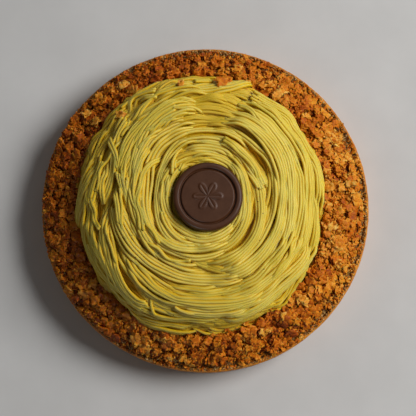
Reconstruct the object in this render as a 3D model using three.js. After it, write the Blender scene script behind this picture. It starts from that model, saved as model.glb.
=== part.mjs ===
// A chestnut cream tart in millimetres, +Z up: a baked shell, a dark crumb filling, a heaped ring
// of flakes, a dome of piped cream and a chocolate disc. The origin is the middle of the underside.

import * as THREE from 'three';

const { degToRad, lerp, smoothstep } = THREE.MathUtils;

// Driving dimensions
const tartRadius = 120;
const shellHeight = 25;
const wallThickness = 3;
const baseThickness = 4;
const footRounding = 2;
const fillingDepth = 1.5; // from the top of the rim down to the crumb
const crumbRelief = 0.6;
const moundRadius = 93;
const moundHeight = 50.5;
const moundFullness = 3; // 2 is a half ellipse, more makes rounder shoulders
const moundStretch = new THREE.Vector2(0.972, 1.03); // it isn't quite round
const moundCentre = new THREE.Vector2(-2.5, 0.1);
const pieceGap = 0.3; // left between pieces that touch

// Piped cream: locks of strands that wind round the dome
const lockPitch = 12;
const lockDepth = 3.4;
const lockArms = 4; // locks that start side by side, which sets how steeply they wind
const lockWander = 1.6;

// Flake heap
const heapRadius = 113.4; // the crumb filling shows outside it
const heapReach = 117.8; // where it lies out as far as the rim's edge
const heapLean = degToRad(190); // the side on which it lies out
const heapClimb = 18; // up the foot of the dome
const heapLumps = 1.5;

// Chocolate disc
const discRadius = 24.2;
const discThickness = 6;
const discEdgeRounding = 1.6;
const discRimWidth = 4.6;
const discFieldDepth = 0.5;
const discTilt = degToRad(-3); // the -Y side stands higher
const discCentre = new THREE.Vector2(1.6, -0.6);
const petalCount = 6;
const petalLength = 11;
const petalHeight = 0.5;

// Mesh fineness
const shellSegments = 72;
const heapSegments = 90;
const discSegments = 72;
const moundSteps = 23;

// Levels and radii that follow
const innerRadius = tartRadius - wallThickness;
const fillingTop = shellHeight - fillingDepth;
const footLevel = fillingTop + pieceGap;
const seatDrop = 0.8; // the dome's top is pressed down this far under the disc
const seatLevel = footLevel + moundHeight - seatDrop;

// A closed solid turned about +Z from [radius, height] points that run anticlockwise.
function revolve(profile, segments) {
  const points = profile.map(([radius, height]) => new THREE.Vector2(radius, height));
  return new THREE.LatheGeometry(points, segments).rotateX(Math.PI / 2);
}

// Moves each point of a turned solid: place(radius, angle, height) gives its new [radius, height].
function reshape(geometry, place) {
  const position = geometry.attributes.position;
  for (let i = 0; i < position.count; i += 1) {
    const x = position.getX(i);
    const y = position.getY(i);
    const angle = Math.atan2(y, x);
    const [radius, height] = place(Math.hypot(x, y), angle, position.getZ(i));
    position.setXYZ(i, radius * Math.cos(angle), radius * Math.sin(angle), height);
  }
  geometry.computeVertexNormals();
  return geometry;
}

// A round edge as profile points, from one angle about its centre to another.
function roundEdge(centreRadius, centreHeight, size, fromDegrees, toDegrees, steps) {
  return Array.from({ length: steps + 1 }, (_, i) => {
    const angle = degToRad(lerp(fromDegrees, toDegrees, i / steps));
    return [centreRadius + size * Math.cos(angle), centreHeight + size * Math.sin(angle)];
  });
}

// Handmade unevenness between -1 and 1 that closes on itself round the tart.
function uneven(angle, shift) {
  const slow = Math.sin(3 * angle + shift);
  const middle = Math.sin(11 * angle - 2.3 * shift);
  const quick = Math.sin(29 * angle + 4.1 * shift);
  return 0.35 * slow + 0.3 * middle + 0.35 * quick;
}

function makeShell() {
  const rimRadius = wallThickness / 2;
  return revolve([
    [0, 0],
    ...roundEdge(tartRadius - footRounding, footRounding, footRounding, -90, 0, 3),
    ...roundEdge(tartRadius - rimRadius, shellHeight - rimRadius, rimRadius, 0, 180, 4),
    [innerRadius, baseThickness],
    [0, baseThickness],
  ], shellSegments);
}

function makeFilling() {
  const outside = innerRadius - pieceGap;
  const shoulder = 1.2;
  const filling = revolve([
    [0, baseThickness + pieceGap],
    [outside, baseThickness + pieceGap],
    [outside, fillingTop - shoulder],
    [outside - shoulder, fillingTop],
    [heapRadius, fillingTop],
    [0, fillingTop],
  ], shellSegments);
  return reshape(filling, (radius, angle, height) => {
    const onEdge = radius > heapRadius + pieceGap && height > fillingTop - 2 * shoulder;
    return [radius, onEdge ? height + crumbRelief * uneven(angle, radius) : height];
  });
}

// The dome's section, fuller than an ellipse: flat on top, with its foot steep in the flakes.
class MoundCurve extends THREE.Curve {
  getPoint(share, target = new THREE.Vector2()) {
    const angle = (share * Math.PI) / 2;
    const power = 2 / moundFullness;
    const radius = moundRadius * Math.cos(angle) ** power;
    const height = footLevel + moundHeight * Math.sin(angle) ** power;
    return target.set(radius, height);
  }
}

function moundRadiusAt(level) {
  const share = (level - footLevel) / moundHeight;
  return moundRadius * (1 - share ** moundFullness) ** (1 / moundFullness);
}

// The dome's section at even steps along it, from the foot up to the axis.
function moundSection() {
  const points = new MoundCurve().getSpacedPoints(moundSteps).map((point) => [point.x, point.y]);
  points[moundSteps][0] = 0;
  return points;
}

// How far the dome's surface leans over at a point: 0 faces up, a right angle faces out.
function moundLean(radius, rise) {
  const power = moundFullness - 1;
  const outward = (radius / moundRadius) ** power / moundRadius;
  const upward = (rise / moundHeight) ** power / moundHeight;
  return Math.atan2(outward, upward);
}

// Where a point goes as the dome is stretched and moved off the middle, the flakes at its foot
// with it, while the outside of the heap stays.
function aside(x, y) {
  const share = 1 - smoothstep(Math.hypot(x, y), moundRadius + 2, heapRadius - 5);
  return new THREE.Vector2(
    x + share * ((moundStretch.x - 1) * x + moundCentre.x),
    y + share * ((moundStretch.y - 1) * y + moundCentre.y),
  );
}

function moveAside(geometry) {
  const position = geometry.attributes.position;
  for (let i = 0; i < position.count; i += 1) {
    const moved = aside(position.getX(i), position.getY(i));
    position.setXY(i, moved.x, moved.y);
  }
  geometry.computeVertexNormals();
  return geometry;
}

// How far the locks of strands stand out of the dome: round backs with sharp valleys between.
function lockRelief(radius, angle, rise) {
  const clearOfFlakes = smoothstep(rise, heapClimb - 1, heapClimb + 5);
  const clearOfAxis = smoothstep(radius, 4, 20);
  const inward = moundRadius - radius + rise / 2;
  const wander = lockWander * uneven(angle, 0.7) * Math.sin(inward / lockPitch);
  const turn = (Math.PI * (inward + wander)) / lockPitch + (lockArms * angle) / 2;
  const meanHeight = 2 / Math.PI;
  return lockDepth * (Math.abs(Math.cos(turn)) - meanHeight) * clearOfFlakes * clearOfAxis;
}

// The plane that the chocolate disc lies on.
function seatAt(y) {
  return seatLevel + Math.tan(discTilt) * (y - discCentre.y);
}

function makeMound() {
  const mound = revolve([[0, footLevel], ...moundSection()], heapSegments);
  reshape(mound, (radius, angle, height) => {
    const rise = height - footLevel;
    if (rise < pieceGap) {
      return [radius, height];
    }
    const relief = lockRelief(radius, angle, rise);
    const lean = moundLean(radius, rise);
    const newRadius = radius + relief * Math.sin(lean);
    const newHeight = height + relief * Math.cos(lean);
    const spot = aside(newRadius * Math.cos(angle), newRadius * Math.sin(angle));
    const clearOfDisc = smoothstep(spot.distanceTo(discCentre), discRadius + 3, discRadius + 10);
    return [newRadius, lerp(seatAt(spot.y), newHeight, clearOfDisc)];
  });
  return moveAside(mound);
}

// How far out the heap of flakes lies at an angle: it leans over the rim on one side only.
function heapEdge(angle) {
  const lean = Math.max(0, Math.cos(angle - heapLean)) ** 0.8;
  const wobble = 0.5 * uneven(angle, 2.1) * (1 - lean);
  return lerp(heapRadius, heapReach, lean) + wobble;
}

function makeFlakeRing() {
  const lipUnderside = shellHeight + 2 * pieceGap;
  const lipThickness = 1.8;
  const crest = footLevel + heapClimb;
  const innerAt = (level) => moundRadiusAt(level) + pieceGap;
  const innerSteps = 3;
  const innerWall = Array.from({ length: innerSteps + 1 }, (_, i) => {
    const level = lerp(crest, footLevel, i / innerSteps);
    return [innerAt(level), level];
  });
  const heap = revolve([
    innerWall[innerSteps],
    [heapRadius - 1.5, footLevel],
    [heapRadius - 0.8, lipUnderside],
    [heapRadius + 0.2, lipUnderside],
    [heapRadius, lipUnderside + lipThickness],
    [heapRadius - 6, crest - 9],
    [heapRadius - 12, crest - 4.5],
    [innerAt(crest) + 4.5, crest - 0.6],
    ...innerWall,
  ], heapSegments);
  reshape(heap, (radius, angle, height) => {
    const onUnderside = height < lipUnderside + pieceGap;
    const spreadFrom = onUnderside ? heapRadius - 0.5 : heapRadius - 12;
    const spread = smoothstep(radius, spreadFrom, heapRadius);
    const outward = spread * (heapEdge(angle) - heapRadius);
    const onTop = !onUnderside && radius > innerAt(height) + pieceGap;
    const lump = onTop ? heapLumps * uneven(angle, 0.9 * radius) : 0;
    return [radius + outward, height + lump];
  });
  return moveAside(heap);
}

// Height of the flower pressed into the disc's field: round petals about the middle.
function petalRelief(radius, angle) {
  const edge = petalLength * Math.sqrt(Math.abs(Math.cos((petalCount * angle) / 2)));
  return petalHeight * smoothstep(edge - radius, 0, 2);
}

function makeDisc() {
  const edgeCentre = discRadius - discEdgeRounding;
  const shoulderLevel = discThickness - discEdgeRounding;
  const fieldRadius = discRadius - discRimWidth - 1;
  const fieldLevel = discThickness - discFieldDepth;
  const fieldRings = [12, 10.5, 9, 7, 5, 2.5, 0];
  const disc = revolve([
    [0, 0],
    [discRadius, 0],
    ...roundEdge(edgeCentre, shoulderLevel, discEdgeRounding, 0, 90, 2),
    [discRadius - discRimWidth, discThickness],
    [fieldRadius, fieldLevel],
    ...fieldRings.map((radius) => [radius, fieldLevel]),
  ], discSegments);
  return reshape(disc, (radius, angle, height) => {
    const inField = height > fieldLevel - pieceGap && radius < fieldRadius - pieceGap;
    return [radius, inField ? height + petalRelief(radius, angle) : height];
  });
}

function piece(name, geometry, colour, roughness) {
  const material = new THREE.MeshStandardMaterial({ color: colour, roughness, metalness: 0 });
  const mesh = new THREE.Mesh(geometry, material);
  mesh.name = name;
  return mesh;
}

const tart = new THREE.Group();
tart.add(piece('tart_shell', makeShell(), 0xb06a2c, 0.7));
tart.add(piece('crumb_filling', makeFilling(), 0x5a4a2c, 0.9));
tart.add(piece('flake_ring', makeFlakeRing(), 0xb06a28, 0.6));
tart.add(piece('cream_mound', makeMound(), 0xc6ab48, 0.5));

const discPlace = new THREE.Group();
discPlace.position.set(discCentre.x, discCentre.y, seatLevel + pieceGap);
discPlace.rotation.x = discTilt;
discPlace.add(piece('chocolate_disc', makeDisc(), 0x462a1e, 0.4));
tart.add(discPlace);

export default tart;
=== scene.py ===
import itertools
import math

import bpy
import numpy as np
from mathutils import Matrix, Vector
from mathutils.bvhtree import BVHTree


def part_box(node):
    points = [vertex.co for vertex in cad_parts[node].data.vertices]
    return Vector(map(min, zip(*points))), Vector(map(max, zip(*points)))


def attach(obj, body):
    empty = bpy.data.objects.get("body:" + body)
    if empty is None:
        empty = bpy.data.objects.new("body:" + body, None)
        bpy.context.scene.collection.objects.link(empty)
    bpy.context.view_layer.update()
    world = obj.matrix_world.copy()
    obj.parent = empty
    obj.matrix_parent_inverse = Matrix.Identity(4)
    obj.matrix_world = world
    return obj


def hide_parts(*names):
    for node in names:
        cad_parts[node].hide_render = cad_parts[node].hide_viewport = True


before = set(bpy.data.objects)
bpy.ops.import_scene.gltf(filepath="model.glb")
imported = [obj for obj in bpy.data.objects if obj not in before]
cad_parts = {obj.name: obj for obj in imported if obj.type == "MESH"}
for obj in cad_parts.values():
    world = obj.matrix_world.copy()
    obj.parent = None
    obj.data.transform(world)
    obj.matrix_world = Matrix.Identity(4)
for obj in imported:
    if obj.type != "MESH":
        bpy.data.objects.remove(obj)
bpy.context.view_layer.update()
mm = 0.001


# ---- small tools ----

def fromPhoto(red, green, blue):     # a colour as seen on screen, made linear
    return [((part / 255 + 0.055) / 1.055) ** 2.4 for part in (red, green, blue)] + [1]


def deselectAll():
    bpy.ops.object.select_all(action="DESELECT")


def smoothstep(value, low, high):
    share = np.clip((value - low) / (high - low), 0, 1)
    return share * share * (3 - 2 * share)


def blend(pair, share):              # from the first of two values, at 0, to the second, at 1
    return pair[0] + (pair[1] - pair[0]) * share


def lumps(points, size, seed):       # smooth random hills, -1 to 1, in three directions
    cells = 48
    lattice = np.random.default_rng(seed).uniform(-1, 1, (cells, cells, cells))
    places = points / size
    base = np.floor(places).astype(int)
    part = places - base
    part = part * part * (3 - 2 * part)
    total = np.zeros(len(points))
    for corner in itertools.product((0, 1), repeat=3):
        index = (base + corner) % cells
        weight = np.prod(np.where(np.array(corner) == 1, part, 1 - part), axis=1)
        total += weight * lattice[index[:, 0], index[:, 1], index[:, 2]]
    return total


def meshPoints(piece):
    flat = np.empty(len(piece.data.vertices) * 3)
    piece.data.vertices.foreach_get("co", flat)
    return flat.reshape(-1, 3)


def placePoints(piece, points):
    piece.data.vertices.foreach_set("co", np.ascontiguousarray(points, dtype=float).ravel())
    piece.data.update()


def turned(name, profile, steps):    # a closed profile of (radius, height) spun about the upright axis
    deselectAll()
    mesh = bpy.data.meshes.new(name)
    edges = [(i, (i + 1) % len(profile)) for i in range(len(profile))]
    mesh.from_pydata([(radius, 0, height) for radius, height in profile], edges, [])
    piece = bpy.data.objects.new(name, mesh)
    bpy.context.collection.objects.link(piece)
    bpy.context.view_layer.objects.active = piece
    piece.select_set(True)
    bpy.ops.object.mode_set(mode="EDIT")
    bpy.ops.mesh.select_all(action="SELECT")
    bpy.ops.mesh.spin(steps=steps, angle=2 * math.pi, center=(0, 0, 0), axis=(0, 0, 1))
    bpy.ops.mesh.select_all(action="SELECT")
    bpy.ops.mesh.remove_doubles(threshold=0.01 * mm)
    bpy.ops.mesh.normals_make_consistent(inside=False)
    bpy.ops.object.mode_set(mode="OBJECT")
    bpy.ops.object.shade_smooth()
    piece.select_set(False)
    return piece


def arc(centreRadius, centreHeight, size, fromDegrees, toDegrees, steps):
    turns = [math.radians(fromDegrees + (toDegrees - fromDegrees) * i / steps) for i in range(steps + 1)]
    return [(centreRadius + size * math.cos(turn), centreHeight + size * math.sin(turn)) for turn in turns]


def addAttribute(mesh, name, values):
    attribute = mesh.attributes.new(name, "FLOAT", "POINT")
    attribute.data.foreach_set("value", np.asarray(values, dtype=np.float32))


def joined(name, parts, tones, smooth):   # many small meshes as one piece, each with its own tone
    points = np.concatenate([part[0] for part in parts])
    starts = np.cumsum([0] + [len(part[0]) for part in parts[:-1]])
    faces = []
    for part, start in zip(parts, starts):
        faces += [[start + corner for corner in face] for face in part[1]]
    mesh = bpy.data.meshes.new(name)
    mesh.from_pydata(points.tolist(), [], faces)
    mesh.update()
    addAttribute(mesh, "tone", np.repeat(tones, [len(part[0]) for part in parts]))
    # a per-point painted shade for where shade falls: the strands' flanks and the flakes' middles and
    # undersides
    if len(parts[0]) > 2:
        addAttribute(mesh, "groove", np.concatenate([part[2] for part in parts]))
    mesh.polygons.foreach_set("use_smooth", np.full(len(mesh.polygons), smooth))
    piece = bpy.data.objects.new(name, mesh)
    bpy.context.collection.objects.link(piece)
    return piece


def install(piece, material, slot, *nodes):
    piece.data.materials.clear()
    piece.data.materials.append(material)
    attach(piece, "root")
    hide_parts(*nodes)


# ---- finishes ----

class Value:                         # a number or colour that changes over the surface
    def __init__(self, finish, socket):
        self.finish = finish
        self.socket = socket

    def maths(self, operation, first, second):
        return self.finish.node("ShaderNodeMath", {"operation": operation}, {0: first, 1: second})

    def __add__(self, other):
        return self.maths("ADD", self, other)

    def __radd__(self, other):
        return self.maths("ADD", other, self)

    def __sub__(self, other):
        return self.maths("SUBTRACT", self, other)

    def __rsub__(self, other):
        return self.maths("SUBTRACT", other, self)

    def __mul__(self, other):
        return self.maths("MULTIPLY", self, other)

    def __rmul__(self, other):
        return self.maths("MULTIPLY", other, self)


class Finish:
    def __init__(self, name, **constants):
        self.material = bpy.data.materials.new(name)
        self.material.use_nodes = True
        self.tree = self.material.node_tree
        self.shader = self.tree.nodes["Principled BSDF"]
        for socket, value in constants.items():
            self.shader.inputs[socket.replace("_", " ")].default_value = value
        self.place = self.node("ShaderNodeTexCoord", output="Object")

    def node(self, kind, settings=None, inputs=None, output=0):
        made = self.tree.nodes.new(kind)
        for name, value in (settings or {}).items():
            if name == "stops":
                elements = made.color_ramp.elements
                while len(elements) < len(value):
                    elements.new(1)
                for element, (position, colour) in zip(elements, value):
                    element.position = position
                    element.color = colour
            else:
                setattr(made, name, value)
        for name, value in (inputs or {}).items():
            self.join(made.inputs[name], value)
        return Value(self, made.outputs[output])

    def join(self, socket, value):
        if isinstance(value, Value):
            self.tree.links.new(value.socket, socket)
        else:
            socket.default_value = value

    def noise(self, size, detail=3, roughness=0.55):
        inputs = {"Vector": self.place, "Scale": 1 / size, "Detail": detail, "Roughness": roughness}
        return self.node("ShaderNodeTexNoise", {}, inputs)

    def grains(self, size):
        return self.node("ShaderNodeTexVoronoi", {}, {"Vector": self.place, "Scale": 1 / size}, "Distance")

    def attribute(self, name):
        return self.node("ShaderNodeAttribute", {"attribute_name": name}, {}, "Fac")

    def ramp(self, value, stops):
        return self.node("ShaderNodeValToRGB", {"stops": stops}, {"Fac": value}, "Color")

    def mix(self, share, first, second):
        return self.node("ShaderNodeMix", {"data_type": "RGBA"}, {0: share, 6: first, 7: second}, 2)

    def between(self, value, low, high):      # 0 below low, 1 above high
        inputs = {"Value": value, "From Min": low, "From Max": high}
        return self.node("ShaderNodeMapRange", {"interpolation_type": "SMOOTHSTEP"}, inputs)

    def bump(self, height, distance, strength=1):
        inputs = {"Height": height, "Distance": distance, "Strength": strength}
        self.join(self.shader.inputs["Normal"], self.node("ShaderNodeBump", {}, inputs, "Normal"))

    def set(self, socket, value):
        self.join(self.shader.inputs[socket], value)


def creamFinish():
    finish = Finish("pipedCream", Specular_IOR_Level=0.2, Subsurface_Weight=0.4, Subsurface_Scale=0.9 * mm)
    finish.shader.inputs["Subsurface Radius"].default_value = (1.0, 0.78, 0.22)
    cloudy = finish.noise(9 * mm)
    fine = finish.noise(1.1 * mm, detail=4)
    shade = finish.attribute("tone") * 0.6 + cloudy * 0.5
    crest = finish.ramp(shade, [(0.2, fromPhoto(215, 196, 74)), (0.9, fromPhoto(234, 218, 114))])
    # painted shade: the strands' flanks, and the cream deep in the gaps, turn a deeper, more saturated ochre,
    # as shade and light bounced within the cream would
    colour = finish.mix(finish.attribute("groove"), crest, fromPhoto(216, 175, 6))
    specks = finish.between(finish.grains(11 * mm), 0.05, 0.03)
    finish.set("Base Color", finish.mix(specks, colour, fromPhoto(70, 44, 14)))
    finish.set("Roughness", 0.46 + fine * 0.16)
    finish.bump(fine, 0.14 * mm, 0.6)
    return finish.material


def flakeFinish():
    finish = Finish("crispFlakes", Specular_IOR_Level=0.14, Subsurface_Weight=0.3, Subsurface_Scale=0.6 * mm)
    finish.shader.inputs["Subsurface Radius"].default_value = (1.0, 0.5, 0.1)
    patches = finish.noise(2.6 * mm, detail=4)
    fine = finish.noise(0.9 * mm, detail=3)
    shade = finish.attribute("tone") * 0.6 + patches * 0.6 + fine * 0.3
    # painted shade: darker in each flake's middle and underside
    shade = shade - finish.attribute("groove") * 0.25 - 0.15
    finish.set("Base Color", finish.ramp(shade, [
        (0.15, fromPhoto(154, 66, 4)),
        (0.4, fromPhoto(200, 108, 10)),
        (0.6, fromPhoto(222, 144, 34)),
        (0.85, fromPhoto(238, 188, 92)),
    ]))
    finish.set("Roughness", 0.42 + fine * 0.25)
    finish.bump(fine * 0.6 + patches, 0.35 * mm, 0.6)
    return finish.material


def heapFinish():
    finish = Finish("flakeHeap", Roughness=0.7, Specular_IOR_Level=0.2)
    patches = finish.noise(2.5 * mm, detail=5)
    # darker than the flakes: a painted shade for the gaps between them, where the core shows
    finish.set("Base Color", finish.ramp(patches, [
        (0.3, fromPhoto(130, 52, 3)), (0.55, fromPhoto(168, 80, 8)), (0.75, fromPhoto(200, 108, 18)),
    ]))
    finish.bump(patches, 0.8 * mm)
    return finish.material


def crumbFinish():
    finish = Finish("darkCrumb", Roughness=0.8, Specular_IOR_Level=0.2)
    fine = finish.noise(0.8 * mm, detail=3)
    shade = finish.attribute("tone") * 0.8 + fine * 0.4 - 0.1
    finish.set("Base Color", finish.ramp(shade, [
        (0.1, fromPhoto(112, 78, 36)),
        (0.4, fromPhoto(168, 126, 68)),
        (0.7, fromPhoto(204, 160, 96)),
        (1.0, fromPhoto(238, 204, 140)),
    ]))
    finish.bump(fine, 0.3 * mm)
    return finish.material


def shellFinish():
    finish = Finish("bakedShell", Specular_IOR_Level=0.25)
    blotches = finish.noise(12 * mm, detail=4)
    crumb = finish.noise(1.3 * mm, detail=5, roughness=0.65)
    pores = finish.between(finish.grains(2.4 * mm), 0.28, 0.1)
    colour = finish.ramp(blotches * 0.7 + crumb * 0.4, [
        (0.3, fromPhoto(158, 84, 12)), (0.55, fromPhoto(200, 124, 28)), (0.8, fromPhoto(228, 164, 64)),
    ])
    # painted shade: darker in the pits that the bump sinks
    finish.set("Base Color", finish.mix(pores * 0.5, colour, fromPhoto(90, 42, 8)))
    finish.set("Roughness", 0.55 + crumb * 0.25)
    finish.bump(crumb * 0.7 + blotches * 0.6 - pores * 0.5, 0.5 * mm, 0.7)
    return finish.material


def chocolateFinish():
    finish = Finish("darkChocolate", Specular_IOR_Level=0.26)
    cloudy = finish.noise(7 * mm, detail=4)
    fine = finish.noise(0.9 * mm, detail=4)
    finish.set("Base Color", finish.ramp(cloudy * 0.7 + fine * 0.3, [
        (0.3, fromPhoto(66, 35, 15)), (0.7, fromPhoto(80, 46, 23)),
    ]))
    finish.set("Roughness", 0.36 + cloudy * 0.1 + fine * 0.06)
    finish.bump(fine * 0.5 + cloudy * 0.5, 0.08 * mm, 0.5)
    return finish.material


# ---- camera, floor and light ----

view = {
    "pixels": 416,
    "lens": 106.365,
    "sensor": 36.0,
    "distance": 0.9,
    "elevation": math.radians(81.5),
    "aim": Vector((1.8 * mm, -0.44 * mm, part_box("tart_shell")[1].z)),
}
room = {
    "fill": (1, 0.98, 0.94, 1),
    "fillStrength": 0.085,
    "backdrop": (0.42, 0.42, 0.41, 1),       # shows only beyond the floor
    "floorRadius": 4,
    "floorPatches": 60 * mm,
}
# Soft lights: degrees round and up, distance, width and height, power, colour, whether they only gloss
lights = {
    "window": (16, 45, 2.0, 1.3, 1.0, 38, (1, 0.985, 0.96), False),
    "paneGlow": (65, 45, 1.4, 0.3, 0.3, 6.5, (1, 0.98, 0.95), True),
    "wallGlow": (245, 35, 1.4, 0.3, 0.3, 6.5, (1, 0.98, 0.95), True),
}
towardCamera = Vector((0, -math.cos(view["elevation"]), math.sin(view["elevation"])))
cameraPlace = view["aim"] + view["distance"] * towardCamera
cameraUp = Vector((0, math.sin(view["elevation"]), math.cos(view["elevation"])))


def addCamera():
    bpy.ops.object.camera_add(location=cameraPlace)
    camera = bpy.context.object
    camera.data.lens = view["lens"]
    camera.data.sensor_width = view["sensor"]
    camera.data.clip_start = 0.01
    camera.rotation_euler = (-towardCamera).to_track_quat("-Z", "Y").to_euler()
    bpy.context.scene.camera = camera


def addSoftLight(name, azimuth, elevation, distance, width, height, power, colour, glossOnly):
    turn, rise = math.radians(azimuth), math.radians(elevation)
    away = Vector((math.cos(rise) * math.cos(turn), math.cos(rise) * math.sin(turn), math.sin(rise)))
    bpy.ops.object.light_add(type="AREA", location=away * distance)
    light = bpy.context.object
    light.name = name
    light.data.shape = "ELLIPSE"
    light.data.size = width
    light.data.size_y = height
    light.data.energy = power
    light.data.color = colour
    light.visible_diffuse = not glossOnly
    light.rotation_euler = (-away).to_track_quat("-Z", "Y").to_euler()


def addSurroundings():
    bpy.ops.mesh.primitive_circle_add(vertices=96, radius=room["floorRadius"], fill_type="NGON")
    floor = bpy.context.object
    floor.name = "floor"
    finish = Finish("paleFloor", Roughness=0.7, Specular_IOR_Level=0.3)
    patches = finish.noise(room["floorPatches"], detail=4)
    finish.set("Base Color", finish.ramp(patches, [
        (0.3, fromPhoto(198, 198, 198)), (0.7, fromPhoto(206, 206, 206)),
    ]))
    floor.data.materials.append(finish.material)
    scene = bpy.context.scene
    scene.view_settings.view_transform = "Standard"
    world = bpy.data.worlds.new("softRoom")
    scene.world = world
    world.use_nodes = True
    tree = world.node_tree
    fill = tree.nodes["Background"]
    fill.inputs["Color"].default_value = room["fill"]
    fill.inputs["Strength"].default_value = room["fillStrength"]
    backdrop = tree.nodes.new("ShaderNodeBackground")
    backdrop.inputs["Color"].default_value = room["backdrop"]
    path = tree.nodes.new("ShaderNodeLightPath")
    choose = tree.nodes.new("ShaderNodeMixShader")
    tree.links.new(path.outputs["Is Camera Ray"], choose.inputs[0])
    tree.links.new(fill.outputs[0], choose.inputs[1])
    tree.links.new(backdrop.outputs[0], choose.inputs[2])
    tree.links.new(choose.outputs[0], tree.nodes["World Output"].inputs[0])


deselectAll()
addCamera()
addSurroundings()
for name, settings in lights.items():
    addSoftLight(name, *settings)
print("camera, floor and light")


# ---- the dome that the cream is piped over ----

mound = {
    "radius": 93 * mm,
    "rise": 50.5 * mm,
    "fullness": 3,                   # 2 is a half ellipse, more makes rounder shoulders
    "stretch": np.array([0.972, 1.03]),
    "centre": np.array([-2.5 * mm, 0.1 * mm]),
    "foot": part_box("cream_mound")[0].z,
}
discLow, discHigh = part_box("chocolate_disc")
disc = {
    "radius": (discHigh.x - discLow.x) / 2,
    "centre": np.array([(discLow.x + discHigh.x) / 2, (discLow.y + discHigh.y) / 2]),
    "tilt": math.radians(-3),
    "thickness": 6 * mm,
    "edgeRounding": 2.3 * mm,
    "footRounding": 0.6 * mm,
    "rimWidth": 4.6 * mm,
    "fieldDepth": 0.5 * mm,
    "petals": 6,
    "petalLength": 11 * mm,
    "petalHeight": 0.5 * mm,
    "steps": 160,
}
disc["seat"] = (discLow.z + discHigh.z - disc["thickness"] * math.cos(disc["tilt"])) / 2

turns = np.linspace(math.pi / 2, 0, 3001)            # from the top of the section to its foot
power = 2 / mound["fullness"]
tableRadius = mound["radius"] * np.cos(turns).clip(0, 1) ** power
tableRise = mound["rise"] * np.sin(turns) ** power
tableLength = np.concatenate([[0], np.cumsum(np.hypot(np.diff(tableRadius), np.diff(tableRise)))])
sectionLength = tableLength[-1]


def leanAt(radius, rise):            # outward and upward parts of the dome's normal
    outward = (radius / mound["radius"]) ** (mound["fullness"] - 1) / mound["radius"]
    upward = (rise / mound["rise"]) ** (mound["fullness"] - 1) / mound["rise"]
    size = np.hypot(outward, upward)
    return outward / size, upward / size


def onDome(flat, offset):            # a flat map of the dome, as peeled off from its top, back to space
    reach = np.hypot(flat[:, 0], flat[:, 1])
    angle = np.arctan2(flat[:, 1], flat[:, 0])
    radius = np.interp(reach, tableLength, tableRadius)
    rise = np.interp(reach, tableLength, tableRise)
    outward, upward = leanAt(radius, rise)
    heading = np.stack([np.cos(angle), np.sin(angle)], 1)
    normal = np.column_stack([heading * outward[:, None] / mound["stretch"], upward])
    normal /= np.linalg.norm(normal, axis=1)[:, None]
    across = heading * radius[:, None] * mound["stretch"] + mound["centre"]
    points = np.column_stack([across, rise + mound["foot"]]) + normal * offset[:, None]
    return points, normal


def pixelRay(x, y):                  # from the camera through a pixel of the picture, as long as it goes down 1
    half = view["pixels"] / 2
    focal = view["lens"] / view["sensor"] * view["pixels"]
    ray = -towardCamera * focal + Vector((1, 0, 0)) * (x - half) + cameraUp * (half - y)
    return np.array(ray) / -ray.z


def fromPixel(x, y):                 # where the dome shows at a pixel of the picture, on the flat map
    drop = cameraPlace.z - mound["foot"] - np.linspace(mound["rise"], 0, 1200)
    points = np.array(cameraPlace) + drop[:, None] * pixelRay(x, y)
    across = (points[:, :2] - mound["centre"]) / mound["stretch"]
    radius = np.hypot(across[:, 0], across[:, 1])
    rise = points[:, 2] - mound["foot"]
    share = np.clip(1 - (radius / mound["radius"]) ** mound["fullness"], 0, 1)
    hit = np.argmax(rise <= mound["rise"] * share ** (1 / mound["fullness"]) + 1e-6)
    turn = math.atan2((rise[hit] / mound["rise"]) ** (mound["fullness"] / 2),
                      (radius[hit] / mound["radius"]) ** (mound["fullness"] / 2))
    reach = np.interp(-turn, -turns, tableLength)
    return across[hit] / radius[hit] * reach


# ---- cream strands, laid on each other one ribbon after the other ----

cream = {
    "strandRadius": (1.04 * mm, 1.1 * mm),     # loose on the left, pressed together on the right
    "flattened": 1.25,               # a strand's width over its height
    "spacing": (1.88 * mm, 1.76 * mm),
    "opening": 1.6 * mm,             # strands stick together in bundles, with gaps up to this between
    "sides": 8,
    "step": 1.8 * mm,
    "bedSides": 6,
    "bedStep": 3 * mm,
    "bedRibbons": 84,
    "crossRibbons": 34,              # they wind more steeply than the rest
    "looseStrands": 26,
    "bedDepth": 6.5 * mm,            # from the dome's mean surface in to the core
    "ceiling": 3.2 * mm,             # no strand stands further out
    "besideDisc": 3.3 * mm,          # how far the strands come up the disc's side
    "wander": 0.22 * mm,
    "bundleWander": 0.5 * mm,
    "trim": {"cut": 5 * mm, "under": 12 * mm},       # how much shorter a strand's end may be
    "tuckLength": 12 * mm,           # an end that goes under others sinks over this length
    "tuckDepth": 3.2 * mm,
    "seed": 11,
}

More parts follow.
